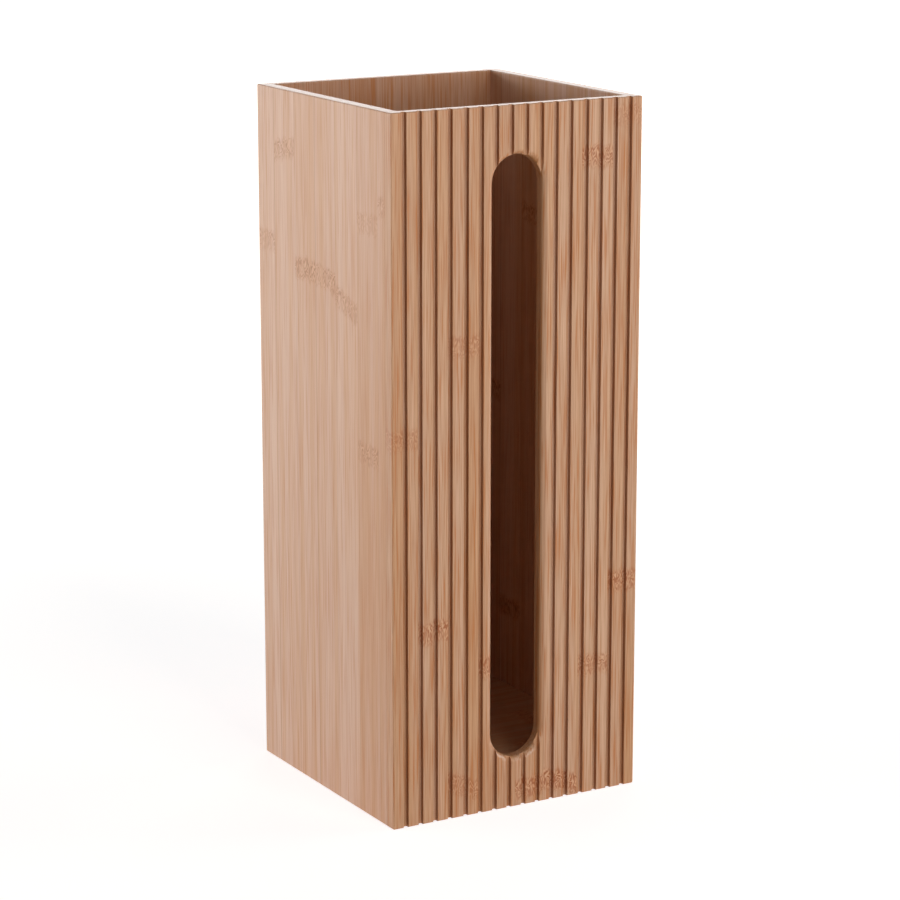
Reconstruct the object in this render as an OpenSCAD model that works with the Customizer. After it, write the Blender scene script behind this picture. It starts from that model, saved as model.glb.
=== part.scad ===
// Tall open-topped bathroom storage cabinet, glued up from five boards of
// flat-pressed bamboo: a fluted front with a long slot, two sides, a back and a
// raised base whose tongue sits in a groove round the inside of the walls.
// Origin: middle of the footprint, on the floor. +Z is up and the front faces -Y.

/* [Cabinet] */
// Width across the fluted front
body_w = 140; // [110:1:220]
// Depth from the faces of the ribs to the back
body_d = 139; // [110:1:220]
// Height of the four walls
body_h = 352; // [200:1:480]

/* [Boards] */
// Thickness of the front board, over its ribs
front_t = 6.5; // [6:0.5:14]
// Thickness of each side board
side_t = 7; // [5:0.5:12]
// Thickness of the back board
back_t = 6; // [5:0.5:12]
// Thickness of the base board
base_t = 6; // [4:0.5:12]
// Bevel sanded on the box's free edges after it is glued up
ease = 0.6; // [0.2:0.1:1.2]

/* [Base] */
// Height of the base's upper face above the floor
floor_z = 23; // [14:0.5:60]
// Thickness of the tongue left along the base's edges by a rebate in its upper face
tongue_t = 3; // [2:0.5:8]
// Depth of the groove in the walls that takes the tongue
groove_d = 2.5; // [1:0.5:3]
// Height left free above the tongue in its groove
groove_play = 0.1; // [0.05:0.05:0.4]
// Gap between the tongue and the bottom of its groove
groove_gap = 0.2; // [0.1:0.05:0.5]
// Gap between the base's upper face and the walls
shoulder_gap = 0.1; // [0.05:0.05:0.4]

/* [Flutes] */
// Width of each rib between two flutes
rib_w = 5.7; // [3:0.1:12]
// Width of each flute, wall to wall
flute_w = 2.6; // [1.4:0.1:4]
// Depth of each flute below the faces of the ribs
flute_d = 2.2; // [1:0.1:3]
// Bevel on the two edges of a flute's mouth
flute_mouth = 0.3; // [0.1:0.05:0.5]
// Bevel in the two corners of a flute's floor
flute_root = 0.4; // [0.1:0.05:0.6]
// Flutes on each side of the middle that the cutter makes in its first pass
pass_flutes = 4; // [2:1:6]
// Extra rib width where one pass of the cutter ends and the next begins
pass_step = 0.6; // [0:0.1:1.5]
// Least width of the outermost rib, at the board's edge
edge_rib = 4.5; // [3:0.5:8]

/* [Slot] */
// Width of the slot
slot_w = 28; // [15:1:60]
// Height of the slot's lower end above the base's upper face
slot_sill = 3; // [2:0.5:60]
// Height of the board left above the slot
slot_head = 24; // [10:1:80]
// Radius of the slot's rounded front edge
slot_round = 3; // [0.5:0.1:4]

/* [Hidden] */

$fn = 96;
// How far a cut runs past the face that it opens
over = 1;

front_y = -body_d / 2;
back_y = body_d / 2;
// Faces of the boards that look into the box
inner_x = body_w / 2 - side_t;
inner_front_y = front_y + front_t;
inner_back_y = back_y - back_t;
inner_d = inner_back_y - inner_front_y;
inner_mid_y = (inner_front_y + inner_back_y) / 2;

base_z = floor_z - base_t;

// The bevel on the inner edges, carried on past the rim and the foot
flare = ease + over;
flared_h = body_h + 2 * over;

pitch = rib_w + flute_w;
slot_r = slot_w / 2;
slot_low_z = floor_z + slot_sill + slot_r;
slot_high_z = body_h - slot_head - slot_r;

// Distance of the nth flute's centre line from the middle of the front
function flute_x(n) = pitch / 2 + n * pitch + (n < pass_flutes ? 0 : pass_step);
// Centre lines on one side of the middle, as many as leave the edge rib its width
flute_limit_x = body_w / 2 - edge_rib - flute_w / 2;
flute_xs = [for (n = 0; flute_x(n) <= flute_limit_x; n = n + 1) flute_x(n)];

bamboo = [0.80, 0.62, 0.46];
bamboo_pale = [0.84, 0.69, 0.56];
bamboo_inside = [0.74, 0.55, 0.41];

// Rectangle about the origin with its four corners bevelled; a negative bevel
// flares the two ends along y outwards instead
module bevelled_rect(w, h, bevel) {
    polygon([
        [-w / 2 + bevel, -h / 2], [w / 2 - bevel, -h / 2],
        [w / 2, -h / 2 + abs(bevel)], [w / 2, h / 2 - abs(bevel)],
        [w / 2 - bevel, h / 2], [-w / 2 + bevel, h / 2],
        [-w / 2, h / 2 - abs(bevel)], [-w / 2, -h / 2 + abs(bevel)]
    ]);
}

// Outside of the box with every edge eased
module outside() {
    intersection() {
        linear_extrude(body_h) bevelled_rect(body_w, body_d, ease);
        translate([0, body_d / 2, body_h / 2]) rotate([90, 0, 0])
            linear_extrude(body_d) bevelled_rect(body_w, body_h, ease);
        translate([-body_w / 2, 0, body_h / 2]) rotate([90, 0, 90])
            linear_extrude(body_w) bevelled_rect(body_d, body_h, ease);
    }
}

// Space inside the walls, flared at the rim and at the foot to ease their inner edges
module inside() {
    intersection() {
        translate([0, body_d / 2, body_h / 2]) rotate([90, 0, 0])
            linear_extrude(body_d) bevelled_rect(2 * inner_x, flared_h, -flare);
        translate([-body_w / 2, inner_mid_y, body_h / 2]) rotate([90, 0, 90])
            linear_extrude(body_w) bevelled_rect(inner_d, flared_h, -flare);
    }
}

// The four walls as one sanded ring, which each board takes its share of
module walls() {
    difference() {
        outside();
        inside();
    }
}

// Block of a wall board between two corners of its plan, over the whole height
module board_zone(from, to) {
    translate([from[0], from[1], 0]) cube([to[0] - from[0], to[1] - from[1], body_h]);
}

// Block that fills the inside of the box in plan and reaches past it by the same
// amount into each wall, from one height up
module inside_block(reach, z, height) {
    translate([-inner_x - reach, inner_front_y - reach, z])
        cube([2 * (inner_x + reach), inner_d + 2 * reach, height]);
}

// Groove round the inside of the walls that takes the base's tongue
module groove() {
    inside_block(groove_d, base_z, tongue_t + groove_play);
}

// Plan of one flute, its mouth on the x axis and its depth along +y
module flute_plan() {
    mouth = flute_w / 2 + flute_mouth;
    wall = flute_w / 2;
    root = flute_w / 2 - flute_root;
    polygon([
        [-mouth - over, -over], [mouth + over, -over],
        [mouth, 0], [wall, flute_mouth], [wall, flute_d - flute_root], [root, flute_d],
        [-root, flute_d], [-wall, flute_d - flute_root], [-wall, flute_mouth], [-mouth, 0]
    ]);
}

// Every flute of the front, cut through the board's whole height
module flutes() {
    translate([0, front_y, -over]) linear_extrude(body_h + 2 * over)
        for (side = [-1, 1], x = flute_xs)
            translate([side * x, 0]) flute_plan();
}

// Half section of the slot: x from its middle line, y from the front face inwards
module slot_half_section() {
    difference() {
        translate([0, -over]) square([slot_r + slot_round, over + slot_round]);
        translate([slot_r + slot_round, slot_round]) circle(slot_round);
    }
    square([slot_r, front_t + over]);
}

// Round end of the slot, its axis along +y
module slot_end(z) {
    translate([0, front_y, z]) rotate([-90, 0, 0])
        rotate_extrude() slot_half_section();
}

// Long slot with its round ends and its rounded front edge
module slot() {
    slot_end(slot_low_z);
    slot_end(slot_high_z);
    translate([0, front_y, slot_low_z]) linear_extrude(slot_high_z - slot_low_z)
        for (side = [0, 1]) mirror([side, 0]) slot_half_section();
}

module front_panel() {
    color(bamboo) difference() {
        intersection() {
            walls();
            board_zone([-body_w / 2, front_y], [body_w / 2, inner_front_y]);
        }
        flutes();
        slot();
        groove();
    }
}

// Side board, which butts against the back of the front board
module side_panel(side) {
    mirror([side > 0 ? 0 : 1, 0, 0]) difference() {
        intersection() {
            walls();
            board_zone([inner_x, inner_front_y], [body_w / 2, back_y]);
        }
        groove();
    }
}

module left_side_panel() {
    color(bamboo_pale) side_panel(-1);
}

module right_side_panel() {
    color(bamboo_pale) side_panel(1);
}

module back_panel() {
    color(bamboo) difference() {
        intersection() {
            walls();
            board_zone([-inner_x, inner_back_y], [inner_x, back_y]);
        }
        groove();
    }
}

// Base board, rebated round its upper face so that a tongue is left below
module base_panel() {
    color(bamboo_inside) {
        inside_block(groove_d - groove_gap, base_z, tongue_t);
        inside_block(-shoulder_gap, base_z, base_t);
    }
}

front_panel();
left_side_panel();
right_side_panel();
back_panel();
base_panel();
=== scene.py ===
"""Looks of a tall open-topped bathroom storage box, glued up from five boards of
flat-pressed bamboo: a fluted front with a long slot, two sides, a back and a base.

Every board is lofted here with the arrises that sanding gives it and stands for the
packed board of the same name. Sizes are in millimetres until a mesh is written.
"""

import logging
import math
from collections.abc import Sequence
from dataclasses import dataclass, field, replace
from enum import Enum

import bmesh
import bpy
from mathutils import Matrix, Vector


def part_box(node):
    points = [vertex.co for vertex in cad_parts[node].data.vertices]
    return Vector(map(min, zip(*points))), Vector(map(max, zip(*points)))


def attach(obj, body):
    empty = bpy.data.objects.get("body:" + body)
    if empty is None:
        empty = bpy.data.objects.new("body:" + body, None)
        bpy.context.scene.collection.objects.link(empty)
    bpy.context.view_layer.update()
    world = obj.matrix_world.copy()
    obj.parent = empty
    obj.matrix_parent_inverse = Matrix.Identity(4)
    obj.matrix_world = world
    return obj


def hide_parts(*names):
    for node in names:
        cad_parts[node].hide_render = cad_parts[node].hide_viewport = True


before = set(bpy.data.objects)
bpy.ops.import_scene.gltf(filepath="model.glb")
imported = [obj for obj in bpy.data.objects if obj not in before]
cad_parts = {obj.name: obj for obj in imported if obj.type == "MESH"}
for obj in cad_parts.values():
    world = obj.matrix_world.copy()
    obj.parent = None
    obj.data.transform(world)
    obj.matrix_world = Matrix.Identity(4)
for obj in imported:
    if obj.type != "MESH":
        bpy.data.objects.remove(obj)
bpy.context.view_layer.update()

LOG = logging.getLogger("storage_box")

MM = 0.001
BODY = "root"

Point = tuple[float, float, float]
Ring = list[Point]
Colour = tuple[float, float, float, float]
Stop = tuple[float, Colour]  # place and colour on a colour ramp

BLACK: Colour = (0, 0, 0, 1)
WHITE: Colour = (1, 1, 1, 1)


class Axis(Enum):
    """A direction of the box, by its place in a point."""

    X = 0  # left to right along the fluted front
    Y = 1  # from the front to the back
    Z = 2  # up

    def beside(self) -> tuple["Axis", "Axis"]:
        """The two other directions, in the order that keeps a ring right-handed."""
        return Axis((self.value + 1) % 3), Axis((self.value + 2) % 3)


class Arris(Enum):
    """How an edge of a board is finished, by its radius in mm."""

    SANDED = 0.7  # free edge, rounded over once the box is glued up
    BROKEN = 0.14  # edge along a glue line, which only loses its sharpness

    def inset(self, depth: float) -> float:
        """How far the rounding draws a face in.

        Args:
            depth: Distance below the end that the arris runs round, in mm.

        Returns:
            The inset in mm, zero where the rounding is over.
        """
        radius = self.value
        if depth >= radius:
            return 0.0
        return radius - math.sqrt(radius**2 - (radius - depth) ** 2)


# The arrises of four faces, or of the four edges between them
Four = tuple[Arris, Arris, Arris, Arris]
ALL_SANDED: Four = (Arris.SANDED,) * 4
ALL_BROKEN: Four = (Arris.BROKEN,) * 4


# ------------------------------------------------------------------ meshes


def corner_arc(
    centre: tuple[float, float], radius: float, start_deg: float, sweep_deg: float, steps: int
) -> list[tuple[float, float]]:
    """Points on an arc.

    Args:
        centre: Middle of the arc, in mm.
        radius: Its radius, in mm.
        start_deg: Direction of its first point from the centre.
        sweep_deg: Angle that it covers, positive anticlockwise.
        steps: Number of chords.

    Returns:
        The points, both ends among them.
    """
    angles = [math.radians(start_deg + sweep_deg * n / steps) for n in range(steps + 1)]
    return [(centre[0] + radius * math.cos(a), centre[1] + radius * math.sin(a)) for a in angles]


def mesh_of_rings(name: str, solids: Sequence[Sequence[Ring]]) -> bpy.types.Object:
    """Builds closed solids, each lofted through its rings and capped at both ends.

    Args:
        name: Name of the new object.
        solids: For each solid, its rings in order. The rings of one solid have as
            many points as each other, in mm.

    Returns:
        The linked object, its mesh in metres in the frame's own coordinates.
    """
    bm = bmesh.new()
    for rings in solids:
        loops = [[bm.verts.new(Vector(p) * MM) for p in ring] for ring in rings]
        count = len(loops[0])
        for low, high in zip(loops, loops[1:]):
            for n in range(count):
                m = (n + 1) % count
                bm.faces.new((low[n], low[m], high[m], high[n]))
        bm.faces.new(list(reversed(loops[0])))
        bm.faces.new(loops[-1])
    bmesh.ops.recalc_face_normals(bm, faces=bm.faces)
    mesh = bpy.data.meshes.new(name)
    bm.to_mesh(mesh)
    bm.free()
    made = bpy.data.objects.new(name, mesh)
    bpy.context.scene.collection.objects.link(made)
    return made


def carve(piece: bpy.types.Object, *cutters: bpy.types.Object) -> None:
    """Cuts the cutters out of a piece, one after another, and removes them.

    Args:
        piece: The board that is cut.
        *cutters: Closed solids, in the order of the cuts.
    """
    for cutter in cutters:
        cut = piece.modifiers.new("cut", "BOOLEAN")
        cut.operation, cut.solver, cut.object = "DIFFERENCE", "EXACT", cutter
    graph = bpy.context.evaluated_depsgraph_get()
    carved = bpy.data.meshes.new_from_object(piece.evaluated_get(graph))
    piece.modifiers.clear()
    blank, piece.data = piece.data, carved
    bpy.data.meshes.remove(blank)
    for cutter in cutters:
        bpy.data.meshes.remove(cutter.data)


def smooth_arrises(piece: bpy.types.Object, sharp_deg: float = 32) -> None:
    """Shades the rounded arrises smooth and keeps the flat faces flat.

    Args:
        piece: The board, its mesh final.
        sharp_deg: Edges that turn more than this stay sharp.
    """
    piece.data.shade_smooth()
    piece.data.set_sharp_from_angle(angle=math.radians(sharp_deg))
    weighted = piece.modifiers.new("flat_faces", "WEIGHTED_NORMAL")
    weighted.keep_sharp = True


# --------------------------------------------------------------- materials


def linear(code: str) -> Colour:
    """Linear colour of an sRGB hex code.

    Args:
        code: Six hex digits, such as "d8b48c".

    Returns:
        Linear red, green and blue, and an alpha of 1.
    """
    shares = [int(code[n : n + 2], 16) / 255 for n in (0, 2, 4)]
    red, green, blue = (s / 12.92 if s <= 0.04045 else ((s + 0.055) / 1.055) ** 2.4 for s in shares)
    return red, green, blue, 1.0


def add_node(
    tree: bpy.types.NodeTree,
    kind: str,
    inputs: dict[int | str, object] | None = None,
    stops: Sequence[Stop] = (),
    **settings: object,
) -> bpy.types.Node:
    """Adds a node with its settings and links.

    Args:
        tree: The node tree that takes it.
        kind: Blender's identifier of the node.
        inputs: Sockets to link and plain values to set, by input name or number.
        stops: Places and colours of a colour ramp, where the node has one.
        **settings: Properties of the node, or of its colour ramp.

    Returns:
        The node.
    """
    node = tree.nodes.new(kind)
    for name, value in settings.items():
        setattr(node if hasattr(node, name) else node.color_ramp, name, value)
    for key, value in (inputs or {}).items():
        if isinstance(value, bpy.types.NodeSocket):
            tree.links.new(value, node.inputs[key])
        else:
            node.inputs[key].default_value = value
    if stops:
        elements = node.color_ramp.elements
        elements.remove(elements[-1])
        elements[0].position, elements[0].color = stops[0]
        for position, colour in stops[1:]:
            elements.new(position).color = colour
    return node


@dataclass(frozen=True)
class CulmNode:
    """Where a node of the bamboo culm crosses a strip: a band of short curled flecks."""

    at: float  # its place along the board in the middle of the strip, in mm
    shows: float  # how clearly, 0 to 1
    slope: float = 0  # its rise along the board for each mm across


NO_NODE = CulmNode(0, 0)


@dataclass(frozen=True)
class Strip:
    """One of the bamboo strips that a board is pressed from."""

    start: float  # where it begins across the board, in mm
    depth: float  # how dark it is, 0 to 1
    warmth: float  # from rosy at 0 to golden at 1
    nodes: tuple[CulmNode, ...]  # two at most


@dataclass(frozen=True)
class Grain:
    """Size of one level of the bamboo's figure, in mm, and its share of the tone."""

    width: float
    length: float
    share: float = 0
    detail: float = 1


@dataclass(frozen=True)
class BoardPoint:
    """The shaded point of a board, as sockets and nodes of a material's tree."""

    tree: bpy.types.NodeTree
    place: bpy.types.NodeSocket  # in mm
    across: bpy.types.NodeSocket  # in mm
    along: bpy.types.NodeSocket  # in mm
    share: bpy.types.NodeSocket  # place across, as a share of a ramp over the board
    strip_ramps: tuple[bpy.types.Node, bpy.types.Node]
    depth: bpy.types.NodeSocket  # of the strip
    warmth: bpy.types.NodeSocket  # of the strip
    shift: bpy.types.NodeSocket  # makes one strip's figure unlike the next one's


# How far a layer covers the board below it, and its colour
Layer = tuple[bpy.types.NodeSocket, str]


@dataclass(frozen=True)
class LacqueredBamboo:
    """Flat-pressed bamboo board under a clear satin lacquer.

    Split culms are planed to strips about 20 mm wide and pressed side by side. To the
    eye that gives long straight fibres, a slight step of shade and hue from strip to
    strip with a fine glue line between, and here and there a culm node: a band of
    short, curled, orange-brown flecks across a strip.
    """

    name: str
    along: Axis
    across: Axis
    strips: tuple[Strip, ...]

    # Ground: shades from pale to deep in two hues
    rosy: tuple[str, str] = ("d8ae8e", "b4805b")
    golden: tuple[str, str] = ("d7a87c", "b47847")
    mean_depth: float = 0.35  # depth of a strip that is neither pale nor deep
    tone_half: float = 0.75  # from the middle of the tone to wholly pale or deep
    band_warmth: float = 1.6  # how far the broad bands turn a strip's hue

    # Figure. Real fibres are 0.2 mm wide; drawn 0.7 mm wide, the least that shows
    fibres: Grain = Grain(0.7, 34, 3.0, 2)
    sheaves: Grain = Grain(1.8, 70, 0.8)
    bands: Grain = Grain(5.5, 200, 0.45, 0)
    grain_roughness: float = 0.55  # how strong the finer detail of each level is
    # Any numbers do that part the figures of strips of unlike depth or warmth
    strip_shift: Point = (131, 57, 83)
    warmth_shift: float = 1.7
    fibre: str = "be7028"  # the darkest fibres
    fibre_levels: tuple[float, float] = (0.5, 0.68)  # noise at which they begin and are full
    fibre_share: float = 0.7  # how far they cover the board
    seam: str = "a56b3d"  # the glue lines
    seam_share: float = 0.55
    seam_half: float = 0.4  # half a glue line's width, in mm

    # Culm nodes
    band_heights: tuple[tuple[float, float], ...] = ((-10, 0), (-6, 0.75), (0, 1), (4, 0))
    band_reach: tuple[float, float] = (-12, 8)  # stretch that holds the heights above, in mm
    wander: Grain = Grain(3.5, 60)
    stray: float = 6  # how far up and down the bands wander, in mm
    node_tint: str = "c8742c"
    tint_share: float = 0.35
    flecks: Grain = Grain(2.6, 7.0)
    curl: float = 0.6
    ring: float = 0.07  # noise from the middle of a dark fleck to that of a pale one
    fleck_dark: str = "a0541a"
    dark_levels: tuple[float, float] = (0.018, 0.042)  # parts of a ring between which they fade
    dark_cover: tuple[float, float] = (1.0, 0.1)
    fleck_pale: str = "e2bd98"
    pale_levels: tuple[float, float] = (0.045, 0.062)
    pale_cover: tuple[float, float] = (0.0, 0.6)

    # Painted shade in the flutes and inner corners, and the lacquer
    # colour of the painted shade, and how far it covers the board at most
    crevice_shade: str = "602806"
    crevice_shade_share: float = 0.52
    recess: float = 4.5  # how far across a recess may be to take any painted shade, in mm
    recess_open: tuple[float, float] = (0.54, 0.32)  # open share of the view, first and full shade
    recess_samples: int = 8
    fibre_relief: float = 0.35  # strength of the fibres' bump
    fibre_height: float = 0.08  # in mm
    ior: float = 1.5  # of the bamboo and of the lacquer
    roughness: tuple[float, float] = (0.5, 0.6)  # between fibres and on them
    rough_levels: tuple[float, float] = (0.3, 0.7)  # noise that these belong to
    lacquer_weight: float = 0.5
    lacquer_roughness: float = 0.32

    # What the ramps span
    board_half: float = 80  # half the width, in mm
    strip_width: float = 20  # of the last strip, which has no next one to end it, in mm
    reach: float = 400  # longest coordinate that a ramp has to hold, in mm

    def ramp_share(self, place: float) -> float:
        """Place across the board as a share of a ramp that spans it."""
        return 0.5 + place / (2 * self.board_half)

    def strip_stops(self, turn: int) -> list[Stop]:
        """Ramp stops that hold what belongs to each strip.

        Args:
            turn: 0 for each strip's depth and first node, 1 for its warmth and second.

        Returns:
            Stops whose four values are depth or warmth, and the node's height where
            it would meet the board's middle line, its strength and its slope.
        """
        starts = [strip.start for strip in self.strips]
        stops = []
        for strip, end in zip(self.strips, [*starts[1:], starts[-1] + self.strip_width]):
            node = strip.nodes[turn] if turn < len(strip.nodes) else NO_NODE
            foot = node.at - node.slope * (strip.start + end) / 2
            stops.append((self.ramp_share(strip.start), (
                (strip.depth, strip.warmth)[turn], 0.5 + foot / (2 * self.reach), node.shows,
                0.5 + node.slope / 2)))
        return stops

    def seam_stops(self) -> list[Stop]:
        """Ramp stops that peak on each glue line between two strips.

        Returns:
            Stops from none to the share of the glue line and back, for each line.
        """
        stops = [(0.0, BLACK)]
        for strip in self.strips[1:]:
            for offset, value in ((-self.seam_half, 0.0), (0.0, self.seam_share), (self.seam_half, 0.0)):
                stops.append((self.ramp_share(strip.start + offset), (value, value, value, 1)))
        return stops

    def point(self, tree: bpy.types.NodeTree) -> BoardPoint:
        """Finds the shaded point on the board, and the strip that it is on.

        Args:
            tree: The material's node tree.

        Returns:
            The point.
        """
        metres = add_node(tree, "ShaderNodeTexCoord").outputs["Object"]
        place = add_node(tree, "ShaderNodeVectorMath", {0: metres, "Scale": 1 / MM},
                         operation="SCALE").outputs[0]
        parts = add_node(tree, "ShaderNodeSeparateXYZ", {0: place}).outputs
        across = parts[self.across.value]
        share = add_node(tree, "ShaderNodeMath", {0: across, 1: 0.5 / self.board_half, 2: 0.5},
                         operation="MULTIPLY_ADD").outputs[0]
        first, second = (add_node(tree, "ShaderNodeValToRGB", {0: share}, self.strip_stops(turn),
                                  interpolation="CONSTANT") for turn in (0, 1))
        depth, warmth = (add_node(tree, "ShaderNodeSeparateColor", {0: ramp.outputs[0]}).outputs[0]
                         for ramp in (first, second))
        unlike = add_node(tree, "ShaderNodeMath", {0: warmth, 1: self.warmth_shift, 2: depth},
                          operation="MULTIPLY_ADD").outputs[0]
        shift = add_node(tree, "ShaderNodeVectorMath", {0: self.strip_shift, "Scale": unlike},
                         operation="SCALE").outputs[0]
        return BoardPoint(tree, place, across, parts[self.along.value], share, (first, second),
                          depth, warmth, shift)

    def noise(self, at: BoardPoint, grain: Grain, curl: float = 0) -> bpy.types.NodeSocket:
        """One level of the figure.

        Args:
            at: The shaded point.
            grain: The level's width and length.
            curl: How far it curls.

        Returns:
            Noise about one half.
        """
        scale = [1 / grain.width] * 3
        scale[self.along.value] = 1 / grain.length
        stretched = add_node(at.tree, "ShaderNodeVectorMath", {0: at.place, 1: scale, 2: at.shift},
                             operation="MULTIPLY_ADD").outputs[0]
        return add_node(at.tree, "ShaderNodeTexNoise",
                        {"Vector": stretched, "Scale": 1.0, "Detail": grain.detail,
                         "Roughness": self.grain_roughness, "Distortion": curl}).outputs[0]

    def ground(self, at: BoardPoint, fibres: bpy.types.NodeSocket) -> bpy.types.NodeSocket:
        """Colour of the board below its dark fibres, glue lines and culm nodes.

        Args:
            at: The shaded point.
            fibres: Noise of the fibres.

        Returns:
            The colour. Its shade comes from the strip, the fibres, sheaves of fibres
            and broad bands, and its hue from the strip and the bands.
        """
        sheaves, bands = self.noise(at, self.sheaves), self.noise(at, self.bands)
        tone, middle = at.depth, self.mean_depth
        for level, grain in ((fibres, self.fibres), (sheaves, self.sheaves), (bands, self.bands)):
            tone = add_node(at.tree, "ShaderNodeMath", {0: level, 1: grain.share, 2: tone},
                            operation="MULTIPLY_ADD").outputs[0]
            middle += grain.share / 2
        tone = add_node(at.tree, "ShaderNodeMapRange",
                        {"Value": tone, "From Min": middle - self.tone_half,
                         "From Max": middle + self.tone_half}).outputs[0]
        hue = add_node(at.tree, "ShaderNodeMath", {0: bands, 1: self.band_warmth, 2: at.warmth},
                       operation="MULTIPLY_ADD").outputs[0]
        hue = add_node(at.tree, "ShaderNodeMapRange",
                       {"Value": hue, "From Min": self.band_warmth / 2,
                        "From Max": self.band_warmth / 2 + 1}).outputs[0]
        rosy, golden = (add_node(at.tree, "ShaderNodeMix",
                                 {0: tone, 6: linear(pale), 7: linear(deep)},
                                 data_type="RGBA").outputs[2]
                        for pale, deep in (self.rosy, self.golden))
        return add_node(at.tree, "ShaderNodeMix", {0: hue, 6: rosy, 7: golden},
                        data_type="RGBA").outputs[2]

    def node_band(self, at: BoardPoint, ramp: bpy.types.Node,
                  height: bpy.types.NodeSocket) -> bpy.types.NodeSocket:
        """How strongly a strip's culm node marks a point.

        Args:
            at: The shaded point.
            ramp: The ramp of strip_stops() that holds the node.
            height: Place along the board, in mm, wandering a little.

        Returns:
            Zero to the strength of the node.
        """
        _, foot, shows = add_node(at.tree, "ShaderNodeSeparateColor", {0: ramp.outputs[0]}).outputs
        line = add_node(at.tree, "ShaderNodeMapRange",
                        {"Value": foot, "To Min": -self.reach, "To Max": self.reach}).outputs[0]
        rise = add_node(at.tree, "ShaderNodeMapRange",
                        {"Value": ramp.outputs[1], "To Min": -1.0, "To Max": 1.0}).outputs[0]
        line = add_node(at.tree, "ShaderNodeMath", {0: rise, 1: at.across, 2: line},
                        operation="MULTIPLY_ADD").outputs[0]
        above = add_node(at.tree, "ShaderNodeMath", {0: height, 1: line},
                         operation="SUBTRACT").outputs[0]
        low, high = self.band_reach
        above = add_node(at.tree, "ShaderNodeMapRange",
                         {"Value": above, "From Min": low, "From Max": high}).outputs[0]
        stops = [((up - low) / (high - low), (value, value, value, 1))
                 for up, value in self.band_heights]
        band = add_node(at.tree, "ShaderNodeValToRGB", {0: above}, stops,
                        interpolation="EASE").outputs[0]
        return add_node(at.tree, "ShaderNodeMath", {0: band, 1: shows},
                        operation="MULTIPLY").outputs[0]

    def node_layers(self, at: BoardPoint) -> list[Layer]:
        """Tint, dark flecks and pale flecks of the culm nodes.

        Args:
            at: The shaded point.

        Returns:
            The layers, the lowest first.
        """
        wander = self.noise(at, self.wander)
        height = add_node(at.tree, "ShaderNodeMath", {0: wander, 1: -self.stray, 2: at.along},
                          operation="MULTIPLY_ADD").outputs[0]
        height = add_node(at.tree, "ShaderNodeMath", {0: height, 1: self.stray / 2}).outputs[0]
        bands = [self.node_band(at, ramp, height) for ramp in at.strip_ramps]
        band = add_node(at.tree, "ShaderNodeMath", dict(enumerate(bands)),
                        operation="MAXIMUM").outputs[0]
        tint = add_node(at.tree, "ShaderNodeMath", {0: band, 1: self.tint_share},
                        operation="MULTIPLY").outputs[0]
        layers: list[Layer] = [(tint, self.node_tint)]
        # The flecks lie where a curled noise crosses evenly spaced values, ring in ring
        curled = self.noise(at, self.flecks, self.curl)
        rings = add_node(at.tree, "ShaderNodeMath", {0: curled, 1: self.ring},
                         operation="PINGPONG").outputs[0]
        for shade, levels, cover in ((self.fleck_dark, self.dark_levels, self.dark_cover),
                                     (self.fleck_pale, self.pale_levels, self.pale_cover)):
            fleck = add_node(at.tree, "ShaderNodeMapRange",
                             {"Value": rings, "From Min": levels[0], "From Max": levels[1],
                              "To Min": cover[0], "To Max": cover[1]},
                             interpolation_type="SMOOTHSTEP").outputs[0]
            fleck = add_node(at.tree, "ShaderNodeMath", {0: fleck, 1: band},
                             operation="MULTIPLY").outputs[0]
            layers.append((fleck, shade))
        return layers

    def line_layers(self, at: BoardPoint, fibres: bpy.types.NodeSocket) -> list[Layer]:
        """Dark fibres and the glue lines between the strips.

        Args:
            at: The shaded point.
            fibres: Noise of the fibres.

        Returns:
            The layers, the lowest first.
        """
        begin, full = self.fibre_levels
        lines = add_node(at.tree, "ShaderNodeMapRange",
                         {"Value": fibres, "From Min": begin, "From Max": full,
                          "To Max": self.fibre_share},
                         interpolation_type="SMOOTHSTEP").outputs[0]
        seam = add_node(at.tree, "ShaderNodeValToRGB", {0: at.share}, self.seam_stops(),
                        interpolation="LINEAR").outputs[0]
        return [(lines, self.fibre), (seam, self.seam)]

    def crevice_shade_layer(self, at: BoardPoint) -> Layer:
        """Painted shade, which darkens the flutes and inner corners by how closed in they are.

        Args:
            at: The shaded point.

        Returns:
            The layer of painted shade, which follows the board's own shape and not the lamps.
        """
        first, full = self.recess_open
        open_share = add_node(at.tree, "ShaderNodeAmbientOcclusion", {"Distance": self.recess * MM},
                              samples=self.recess_samples, only_local=True).outputs["AO"]
        painted_shade = add_node(at.tree, "ShaderNodeMapRange",
                            {"Value": open_share, "From Min": first, "From Max": full,
                             "To Max": self.crevice_shade_share}).outputs[0]
        return painted_shade, self.crevice_shade

    def material(self) -> bpy.types.Material:
        """Makes the node material.

        Returns:
            The material, its figure fixed to the board.
        """
        made = bpy.data.materials.new(self.name)
        made.use_nodes = True
        tree = made.node_tree
        tree.nodes.clear()

        at = self.point(tree)
        fibres = self.noise(at, self.fibres)
        colour = self.ground(at, fibres)
        # Layers: dark fibres, glue lines, culm nodes and, last, painted shade in the flutes and corners
        for amount, shade in (*self.line_layers(at, fibres), *self.node_layers(at),
                              self.crevice_shade_layer(at)):
            colour = add_node(tree, "ShaderNodeMix", {0: amount, 6: colour, 7: linear(shade)},
                              data_type="RGBA").outputs[2]

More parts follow.
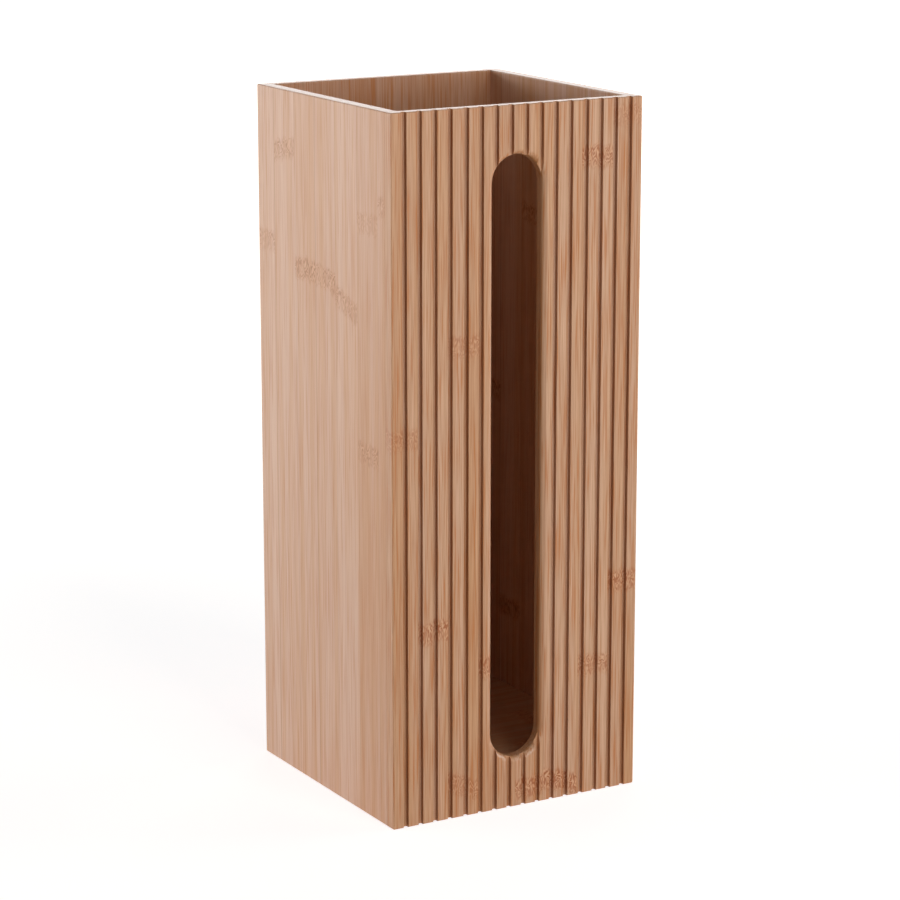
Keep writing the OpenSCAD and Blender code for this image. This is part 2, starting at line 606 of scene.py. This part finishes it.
        # Fibres stand up a little under the lacquer
        bump = add_node(tree, "ShaderNodeBump",
                        {"Strength": self.fibre_relief, "Distance": self.fibre_height * MM,
                         "Height": fibres}).outputs[0]
        rough = add_node(tree, "ShaderNodeMapRange",
                         {"Value": fibres, "From Min": self.rough_levels[0],
                          "From Max": self.rough_levels[1], "To Min": self.roughness[0],
                          "To Max": self.roughness[1]}).outputs[0]
        shader = add_node(tree, "ShaderNodeBsdfPrincipled",
                          {"Base Color": colour, "Roughness": rough, "Normal": bump,
                           "IOR": self.ior, "Coat Weight": self.lacquer_weight,
                           "Coat Roughness": self.lacquer_roughness, "Coat IOR": self.ior})
        add_node(tree, "ShaderNodeOutputMaterial", {"Surface": shader.outputs[0]})
        return made


# ------------------------------------------------------------------ boards


@dataclass(frozen=True)
class Span:
    """Stretch of a board whose four long edges are finished in one way."""

    end: float  # where it ends along the board, in mm; the last one's is not used
    edges: Four  # edges low-low, high-low, high-high and low-high of its section


@dataclass
class Board:
    """A board of the box: a rectangular section lofted along one direction.

    The section's two directions are those after the board's own, so a board along X
    has a section in Y and Z. Faces and edges are named low and high in that order.
    """

    node: str
    slot: str
    finish: LacqueredBamboo
    along: Axis
    spans: tuple[Span, ...]
    first_end: Four  # arrises of the low, high, low and high faces at its low end
    last_end: Four
    arc_steps: int = 5
    joint_length: float = 0.5  # over which one span's edges turn into the next one's, in mm
    low: Vector = field(init=False)  # in mm
    high: Vector = field(init=False)  # in mm

    def __post_init__(self) -> None:
        """Reads the board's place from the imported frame."""
        low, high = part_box(self.node)
        self.low, self.high = low / MM, high / MM

    def ring(self, at: float, edges: Sequence[float], insets: Sequence[float]) -> Ring:
        """Section of the board at one place along it.

        Args:
            at: The place, in mm.
            edges: Radii of the four long edges, in mm.
            insets: How far each of the four faces is drawn in, in mm.

        Returns:
            The section's points, anticlockwise seen from the board's high end.
        """
        first, second = self.along.beside()
        p0, p1 = self.low[first.value] + insets[0], self.high[first.value] - insets[1]
        q0, q1 = self.low[second.value] + insets[2], self.high[second.value] - insets[3]
        corners = ((p0, q0, 1, 1, 180), (p1, q0, -1, 1, 270), (p1, q1, -1, -1, 0), (p0, q1, 1, -1, 90))
        ring: Ring = []
        for (p, q, toward_p, toward_q, start), radius in zip(corners, edges):
            centre = (p + toward_p * radius, q + toward_q * radius)
            for u, v in corner_arc(centre, radius, start, 90, self.arc_steps):
                point = [0.0, 0.0, 0.0]
                point[self.along.value], point[first.value], point[second.value] = at, u, v
                ring.append(tuple(point))
        return ring

    def end_depths(self) -> list[float]:
        """Distances from an end at which its rounding needs a section.

        Returns:
            The distances in mm, the shortest first.
        """
        radius = Arris.SANDED.value
        arc = [radius * (1 - math.cos(math.radians(90 * n / self.arc_steps)))
               for n in range(self.arc_steps + 1)]
        return sorted([*arc, Arris.BROKEN.value])

    def rings(self) -> list[Ring]:
        """All sections of the board.

        Returns:
            The sections, from its low end to its high end.
        """
        start, stop = self.low[self.along.value], self.high[self.along.value]
        radii = [[edge.value for edge in span.edges] for span in self.spans]
        none = (0.0,) * 4
        made = [self.ring(start + depth, radii[0], [a.inset(depth) for a in self.first_end])
                for depth in self.end_depths()]
        for span, before, after in zip(self.spans, radii, radii[1:]):
            made.append(self.ring(span.end - self.joint_length / 2, before, none))
            made.append(self.ring(span.end + self.joint_length / 2, after, none))
        made += [self.ring(stop - depth, radii[-1], [a.inset(depth) for a in self.last_end])
                 for depth in reversed(self.end_depths())]
        return made

    def cutters(self) -> list[bpy.types.Object]:
        """Solids that are cut out of the lofted board."""
        return []

    def build(self) -> bpy.types.Object:
        """Makes the board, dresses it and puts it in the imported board's place.

        Returns:
            The finished piece.
        """
        piece = mesh_of_rings(self.node.replace("panel", "board"), [self.rings()])
        cutters = self.cutters()
        if cutters:
            carve(piece, *cutters)
        smooth_arrises(piece)
        piece.data.materials.clear()
        piece.data.materials.append(self.finish.material())
        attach(piece, BODY)
        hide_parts(self.node)
        LOG.info("%s: %d faces, in %s", piece.name, len(piece.data.polygons), self.finish.name)
        return piece


@dataclass(frozen=True)
class BaseSeat:
    """The inside of the walls and how the base is let into them, in mm."""

    inner_low: tuple[float, float]  # front left corner of the inside, in plan
    inner_high: tuple[float, float]  # back right corner
    underside: float
    upper_face: float
    tongue: float = 3
    groove_depth: float = 2.5
    play: float = 0.1
    end_gap: float = 0.2
    shoulder_gap: float = 0.1
    round_over: float = 0.2  # radius of the base's and the groove's corners in plan
    round_steps: int = 3

    @classmethod
    def from_frame(cls) -> "BaseSeat":
        """Reads the inside and the base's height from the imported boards.

        Returns:
            The seat.
        """
        low, high = {}, {}
        for node in ("left_side_panel", "right_side_panel", "front_panel", "back_panel",
                     "base_panel"):
            low[node], high[node] = (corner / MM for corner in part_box(node))
        return cls((high["left_side_panel"].x, high["front_panel"].y),
                   (low["right_side_panel"].x, low["back_panel"].y),
                   low["base_panel"].z, high["base_panel"].z)

    def outline(self, reach: float, z: float) -> Ring:
        """Inside of the box in plan, grown by a reach, with slightly rounded corners.

        Args:
            reach: How far it goes into the walls, in mm.
            z: Height of the outline, in mm.

        Returns:
            The outline, anticlockwise from above.
        """
        x0, y0 = (value - reach + self.round_over for value in self.inner_low)
        x1, y1 = (value + reach - self.round_over for value in self.inner_high)
        ring: Ring = []
        for centre, start in (((x0, y0), 180), ((x1, y0), 270), ((x1, y1), 0), ((x0, y1), 90)):
            arc = corner_arc(centre, self.round_over, start, 90, self.round_steps)
            ring += [(x, y, z) for x, y in arc]
        return ring

    def groove(self) -> bpy.types.Object:
        """Cutter of the groove round the inside of the walls."""
        heights = (self.underside, self.underside + self.tongue + self.play)
        return mesh_of_rings("groove", [[self.outline(self.groove_depth, z) for z in heights]])


@dataclass
class Wall(Board):
    """A side or back board, grooved for the base."""

    seat: BaseSeat = field(default_factory=BaseSeat.from_frame)

    def cutters(self) -> list[bpy.types.Object]:
        """The groove alone."""
        return [self.seat.groove()]


@dataclass
class FlutedFront(Wall):
    """The front board: flutes over its whole face and one long slot with round ends."""

    rib: float = 5.7
    flute: float = 2.6
    flute_depth: float = 2.2
    mouth: float = 0.15  # rounding of a flute's two arrises
    mouth_steps: int = 4
    root: float = 0.4  # rounding in the corners of its floor
    root_steps: int = 3
    side_flutes: int = 8  # on each side of the middle
    pass_flutes: int = 4  # of these, how many the cutter makes in its first pass
    pass_step: float = 0.6  # extra width of the rib between two passes
    slot_half: float = 14
    slot_sill: float = 3  # from the base's upper face to the slot's lower end
    slot_head: float = 24  # from its upper end to the rim
    slot_round: float = 3
    over: float = 1  # how far a cut runs past the face that it opens

    def flute_places(self) -> list[float]:
        """Centre lines of the flutes.

        Returns:
            Their places from left to right, in mm.
        """
        pitch = self.rib + self.flute
        right = [pitch / 2 + n * pitch + (0 if n < self.pass_flutes else self.pass_step)
                 for n in range(self.side_flutes)]
        return [-x for x in reversed(right)] + right

    def flute_plan(self, x: float, z: float) -> Ring:
        """Plan of one flute.

        Args:
            x: Its centre line, in mm.
            z: Height of the plan, in mm.

        Returns:
            Its outline, with the mouth's arrises rounded outwards.
        """
        half, front = self.flute / 2, self.low.y
        bottom = front + self.flute_depth
        left = [(x - half - self.mouth, front - self.over)]
        left += corner_arc((x - half - self.mouth, front + self.mouth), self.mouth, -90, 90,
                           self.mouth_steps)
        left += corner_arc((x - half + self.root, bottom - self.root), self.root, 180, -90,
                           self.root_steps)
        right = [(2 * x - u, v) for u, v in reversed(left)]
        return [(u, v, z) for u, v in reversed(left + right)]

    def flutes(self) -> bpy.types.Object:
        """Cutter of all the flutes."""
        ends = (self.low.z - self.over, self.high.z + self.over)
        return mesh_of_rings("flutes", [[self.flute_plan(x, z) for z in ends]
                                        for x in self.flute_places()])

    def slot_outline(self, radius: float, y: float, steps: int = 40) -> Ring:
        """Outline of the slot, two round ends joined by straight sides.

        Args:
            radius: Half its width, in mm.
            y: Depth at which the outline lies, in mm.
            steps: Chords in each round end.

        Returns:
            Its points.
        """
        upper = self.high.z - self.slot_head - self.slot_half
        lower = self.seat.upper_face + self.slot_sill + self.slot_half
        ends = corner_arc((0, upper), radius, 0, 180, steps)
        ends += corner_arc((0, lower), radius, 180, 180, steps)
        return [(u, y, v) for u, v in ends]

    def slot_cutter(self, steps: int = 9) -> bpy.types.Object:
        """Cutter of the slot, flared where its front edge is rounded.

        Args:
            steps: Chords in the rounding.

        Returns:
            The cutter.
        """
        front = self.low.y
        rings = [self.slot_outline(self.slot_half + self.slot_round, front - self.over)]
        for n in range(steps + 1):
            turn = math.radians(90 * n / steps)
            rings.append(self.slot_outline(
                self.slot_half + self.slot_round * (1 - math.sin(turn)),
                front + self.slot_round * (1 - math.cos(turn))))
        rings.append(self.slot_outline(self.slot_half, self.high.y + self.over))
        return mesh_of_rings("slot", [rings])

    def cutters(self) -> list[bpy.types.Object]:
        """Flutes, slot and groove, in the order in which they are made."""
        return [self.flutes(), self.slot_cutter(), self.seat.groove()]


@dataclass
class RaisedBase(Board):
    """The base board: a tongue round its lower half sits in the walls' groove."""

    seat: BaseSeat = field(default_factory=BaseSeat.from_frame)

    def rings(self) -> list[Ring]:
        """Outlines of the base, with its tongue and its rebated upper face.

        Returns:
            The outlines, from the underside to the upper face.
        """
        seat = self.seat
        tongue, shoulder = seat.groove_depth - seat.end_gap, -seat.shoulder_gap
        top_of_tongue, broken = seat.underside + seat.tongue, Arris.BROKEN.value
        return [seat.outline(tongue - broken, seat.underside),
                seat.outline(tongue, seat.underside + broken),
                seat.outline(tongue, top_of_tongue - broken),
                seat.outline(tongue - broken, top_of_tongue),
                seat.outline(shoulder, top_of_tongue),
                seat.outline(shoulder, seat.upper_face - broken),
                seat.outline(shoulder - broken, seat.upper_face)]


# Front board: strips about two ribs wide, with a strong node low on the right
FRONT_BAMBOO = LacqueredBamboo(
    "lacquered_pressed_bamboo_front", Axis.Z, Axis.X,
    (Strip(-80, 0.54, 0.58, (CulmNode(198, 0.5),)),
     Strip(-55.7, 0.34, 0.34, (CulmNode(100, 0.9, 0.1),)),
     Strip(-38.2, 0.46, 0.38, (CulmNode(18, 0.6, -0.4), CulmNode(240, 0.5))),
     Strip(-20.7, 0.50, 0.42, (CulmNode(78, 0.9),)),
     Strip(-0.7, 0.30, 0.40, (CulmNode(12, 0.9),)),
     Strip(15.5, 0.26, 0.24, (CulmNode(12, 1.0, -0.3),)),
     Strip(35.5, 0.20, 0.18, (CulmNode(327, 0.8), CulmNode(70, 0.7))),
     Strip(54.3, 0.48, 0.42, (CulmNode(112, 0.9), CulmNode(346, 0.4)))))
# Side boards: paler, with strips of about 21 mm and fainter, wider fibres
LEFT_BAMBOO = LacqueredBamboo(
    "lacquered_pressed_bamboo_left_side", Axis.Z, Axis.Y,
    (Strip(-80, 0.54, 0.66, (CulmNode(309, 0.5),)),
     Strip(-56.5, 0.50, 0.62, (CulmNode(187, 0.7), CulmNode(300, 0.4))),
     Strip(-35.9, 0.10, 0.22, (CulmNode(257, 0.7, 0.3),)),
     Strip(-13.5, 0.20, 0.30, (CulmNode(267, 0.8, 0.1),)),
     Strip(7.5, 0.18, 0.30, (CulmNode(268, 1.0, -0.1),)),
     Strip(29, 0.08, 0.22, (CulmNode(325, 0.6, -0.2),)),
     Strip(51.2, 0.02, 0.12, (CulmNode(277, 0.5),))),
    rosy=("dfb9a0", "be8864"), golden=("dcab7f", "b87c4a"), fleck_dark="a0601a", fibre_share=0.36,
    fibres=Grain(0.9, 40, 1.2, 2), sheaves=Grain(1.8, 70, 0.4), flecks=Grain(2.8, 8.0))
RIGHT_BAMBOO = replace(
    LEFT_BAMBOO, name="lacquered_pressed_bamboo_right_side", strips=(
        Strip(-80, 0.30, 0.40, (CulmNode(96, 0.6),)),
        Strip(-51.8, 0.12, 0.26, (CulmNode(214, 0.9, 0.15),)),
        Strip(-30.9, 0.34, 0.52, (CulmNode(31, 0.7), CulmNode(322, 0.6))),
        Strip(-10.4, 0.16, 0.20, (CulmNode(148, 0.8, -0.2),)),
        Strip(10.9, 0.42, 0.48, (CulmNode(285, 0.7, 0.1),)),
        Strip(31.6, 0.10, 0.30, (CulmNode(69, 0.9),)),
        Strip(52.5, 0.24, 0.22, (CulmNode(186, 0.7),))))
# Back board and base: from the same stock as the front, a little darker
BACK_BAMBOO = LacqueredBamboo(
    "lacquered_pressed_bamboo_back", Axis.Z, Axis.X,
    (Strip(-80, 0.35, 0.5, (CulmNode(120, 0.6),)),
     Strip(-47, 0.22, 0.4, (CulmNode(300, 0.7),)),
     Strip(-26.4, 0.50, 0.6, (CulmNode(60, 0.8, 0.2), CulmNode(334, 0.5))),
     Strip(-5.2, 0.28, 0.3, (CulmNode(210, 0.8),)),
     Strip(15.8, 0.44, 0.7, (CulmNode(265, 0.6),)),
     Strip(37.1, 0.20, 0.4, (CulmNode(30, 0.8, -0.2),))),
    rosy=("d0a182", "b9825e"), golden=("d09d76", "b87a4e"))
BASE_BAMBOO = LacqueredBamboo(
    "lacquered_pressed_bamboo_base", Axis.X, Axis.Y,
    (Strip(-80, 0.45, 0.6, (CulmNode(22, 0.7),)),
     Strip(-42, 0.60, 0.5, (CulmNode(-40, 0.7),)),
     Strip(-21, 0.38, 0.7, (CulmNode(45, 0.8),)),
     Strip(0.5, 0.55, 0.4, (CulmNode(-12, 0.6),)),
     Strip(21.4, 0.42, 0.6, (CulmNode(30, 0.7),)),
     Strip(42.3, 0.50, 0.5, (CulmNode(-50, 0.7),))),
    rosy=("c89c7a", "b07f5c"), golden=("c89872", "b0784c"))


@dataclass
class StorageBox:
    """The whole box, board by board."""

    seat: BaseSeat = field(default_factory=BaseSeat.from_frame)

    def boards(self) -> list[Board]:
        """Lays out the five boards.

        Returns:
            The boards, in the order in which the box is glued up.
        """
        inner_left, inner_right = self.seat.inner_low[0], self.seat.inner_high[0]
        inner_back = self.seat.inner_high[1]
        sanded, broken = Arris.SANDED, Arris.BROKEN
        # Sections run along Z and X here: bottom, top, left and right face
        left_last: Four = (sanded, sanded, sanded, broken)
        right_last: Four = (sanded, sanded, broken, sanded)
        # Edges: bottom left, top left, top right and bottom right
        left_spans = (Span(inner_back, ALL_SANDED), Span(0, (sanded, sanded, broken, broken)))
        right_spans = (Span(inner_back, ALL_SANDED), Span(0, (broken, broken, sanded, sanded)))
        # Sections run along Y and Z here: front, back, bottom and top face
        front_end: Four = (sanded, broken, sanded, sanded)
        # Edges: bottom front, bottom back, top back and top front
        over_side: Four = (sanded, broken, broken, sanded)
        front_spans = (Span(inner_left, over_side), Span(inner_right, ALL_SANDED),
                       Span(0, over_side))
        return [
            RaisedBase("base_panel", "base_bamboo", BASE_BAMBOO, Axis.Z, (),
                       ALL_BROKEN, ALL_BROKEN),
            Wall("left_side_panel", "side_bamboo", LEFT_BAMBOO, Axis.Y, left_spans,
                 ALL_BROKEN, left_last),
            Wall("right_side_panel", "side_bamboo", RIGHT_BAMBOO, Axis.Y, right_spans,
                 ALL_BROKEN, right_last),
            Wall("back_panel", "back_bamboo", BACK_BAMBOO, Axis.X, (Span(0, ALL_SANDED),),
                 ALL_BROKEN, ALL_BROKEN),
            FlutedFront("front_panel", "front_bamboo", FRONT_BAMBOO, Axis.X, front_spans,
                        front_end, front_end),
        ]

    def build(self) -> list[bpy.types.Object]:
        """Builds every board.

        Returns:
            The pieces, in the order of boards().
        """
        return [board.build() for board in self.boards()]


# ------------------------------------------------------------------ studio


@dataclass(frozen=True)
class Softbox:
    """A large diffused lamp."""

    name: str
    place: Point  # in metres
    aim: Point  # in metres
    size: tuple[float, float]  # in metres
    power: float  # in watts

    def build(self) -> bpy.types.Object:
        """Makes the lamp.

        Returns:
            The lamp, pointed at its aim.
        """
        light = bpy.data.lights.new(self.name, "AREA")
        light.shape, light.size, light.size_y, light.energy = "RECTANGLE", *self.size, self.power
        lamp = bpy.data.objects.new(self.name, light)
        lamp.location = self.place
        lamp.rotation_mode = "QUATERNION"
        lamp.rotation_quaternion = (Vector(self.aim) - Vector(self.place)).to_track_quat("-Z", "Y")
        bpy.context.scene.collection.objects.link(lamp)
        return lamp


@dataclass(frozen=True)
class Studio:
    """White floor and surroundings, low softboxes and the camera."""

    camera_place: Point = (-0.7602, -1.3225, 0.5294)  # in metres
    camera_toward: Point = (0.4859, 0.8432, -0.2299)
    lens: float = 123.56  # in mm
    sensor: float = 36  # width of the sensor, in mm
    clip: tuple[float, float] = (0.05, 50)  # nearest and farthest that is seen, in metres
    floor_half: float = 6000  # in mm
    floor_thickness: float = 10  # in mm
    floor_paper: str = "f4e1c8"  # its colour as light on the box, slightly warm
    floor_lift: str = "d5dce4"  # adds to the floor near the box, where the camera sees it
    lift_reach: tuple[float, float] = (0.25, 1.2)  # between which the lift turns white, in metres
    fill: float = 0.1  # strength of the white surroundings as a light
    lamps: tuple[Softbox, ...] = (
        Softbox("back_left_softbox", (-2.6, 1.6, 0.42), (0, 0, 0.2), (2.4, 0.9), 54),
        Softbox("back_right_softbox", (1.9, 2.4, 1.2), (0, 0, 0.35), (2.0, 1.6), 19.5),
        Softbox("front_softbox", (0.2, -2.5, 0.75), (0, 0, 0.25), (1.3, 1.4), 29),
        Softbox("right_softbox", (2.4, -0.6, 0.5), (0, 0, 0.2), (1.6, 0.9), 24),
    )

    def camera(self) -> bpy.types.Object:
        """Makes the scene's camera.

        Returns:
            The camera, at the photograph's viewing angle.
        """
        data = bpy.data.cameras.new("camera")
        data.lens, data.sensor_width, data.sensor_fit = self.lens, self.sensor, "HORIZONTAL"
        data.clip_start, data.clip_end = self.clip
        made = bpy.data.objects.new("camera", data)
        made.location = self.camera_place
        made.rotation_mode = "QUATERNION"
        made.rotation_quaternion = Vector(self.camera_toward).to_track_quat("-Z", "Y")
        bpy.context.scene.collection.objects.link(made)
        bpy.context.scene.camera = made
        return made

    def seen(self, tree: bpy.types.NodeTree) -> bpy.types.NodeSocket:
        """Tells what shows from what only lights.

        Args:
            tree: A node tree of the surroundings.

        Returns:
            One where a ray comes from the camera, off gloss or through glass, or else
            zero.
        """
        ray = add_node(tree, "ShaderNodeLightPath").outputs
        seen = ray["Is Camera Ray"]
        for kind in ("Is Glossy Ray", "Is Transmission Ray"):
            seen = add_node(tree, "ShaderNodeMath", {0: seen, 1: ray[kind]},
                            operation="MAXIMUM").outputs[0]
        return seen

    def world(self) -> None:
        """White surroundings, which light the box far less than they show."""
        world = bpy.data.worlds.new("white_surroundings")
        world.use_nodes = True
        tree = world.node_tree
        tree.nodes.clear()
        strength = add_node(tree, "ShaderNodeMapRange",
                            {"Value": self.seen(tree), "To Min": self.fill, "To Max": 1.0})
        light = add_node(tree, "ShaderNodeBackground",
                         {"Color": WHITE, "Strength": strength.outputs[0]})
        add_node(tree, "ShaderNodeOutputWorld", {"Surface": light.outputs[0]})
        bpy.context.scene.world = world

    def paper(self) -> bpy.types.Material:
        """White paper of the sweep, matt, so that it only takes the box's shadow.

        Returns:
            The material, lifted to white where it is seen.
        """
        paper = bpy.data.materials.new("white_paper_sweep")
        paper.use_nodes = True
        tree = paper.node_tree
        tree.nodes.clear()
        place = add_node(tree, "ShaderNodeTexCoord").outputs["Object"]
        distance = add_node(tree, "ShaderNodeVectorMath", {0: place},
                            operation="LENGTH").outputs["Value"]
        near, far = self.lift_reach
        away = add_node(tree, "ShaderNodeMapRange",
                        {"Value": distance, "From Min": near, "From Max": far},
                        interpolation_type="SMOOTHSTEP").outputs[0]
        shade = add_node(tree, "ShaderNodeValToRGB", {0: away},
                         [(0.0, linear(self.floor_lift)), (1.0, WHITE)]).outputs[0]
        diffuse = add_node(tree, "ShaderNodeBsdfDiffuse", {"Color": linear(self.floor_paper)})
        lift = add_node(tree, "ShaderNodeEmission", {"Color": shade, "Strength": self.seen(tree)})
        both = add_node(tree, "ShaderNodeAddShader", {0: diffuse.outputs[0], 1: lift.outputs[0]})
        add_node(tree, "ShaderNodeOutputMaterial", {"Surface": both.outputs[0]})
        return paper

    def floor(self) -> bpy.types.Object:
        """Makes the sweep that the box stands on and that keeps its shadow.

        Returns:
            The floor, its upper face at height zero.
        """
        half = self.floor_half
        corners = ((-half, -half), (half, -half), (half, half), (-half, half))
        floor = mesh_of_rings("floor", [[[(x, y, z) for x, y in corners]
                                         for z in (-self.floor_thickness, 0)]])
        floor.data.materials.append(self.paper())
        return floor

    def build(self) -> None:
        """Sets up the studio round the box."""
        bpy.context.scene.view_settings.view_transform = "Standard"
        self.camera()
        self.world()
        self.floor()
        for lamp in self.lamps:
            lamp.build()


def main() -> None:
    """Builds the studio and the box."""
    logging.basicConfig(level=logging.INFO, format="%(name)s: %(message)s")
    Studio().build()
    pieces = StorageBox().build()
    LOG.info("%d boards stand for %d packed boards", len(pieces), len(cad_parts))


if __name__ == "__main__":
    main()
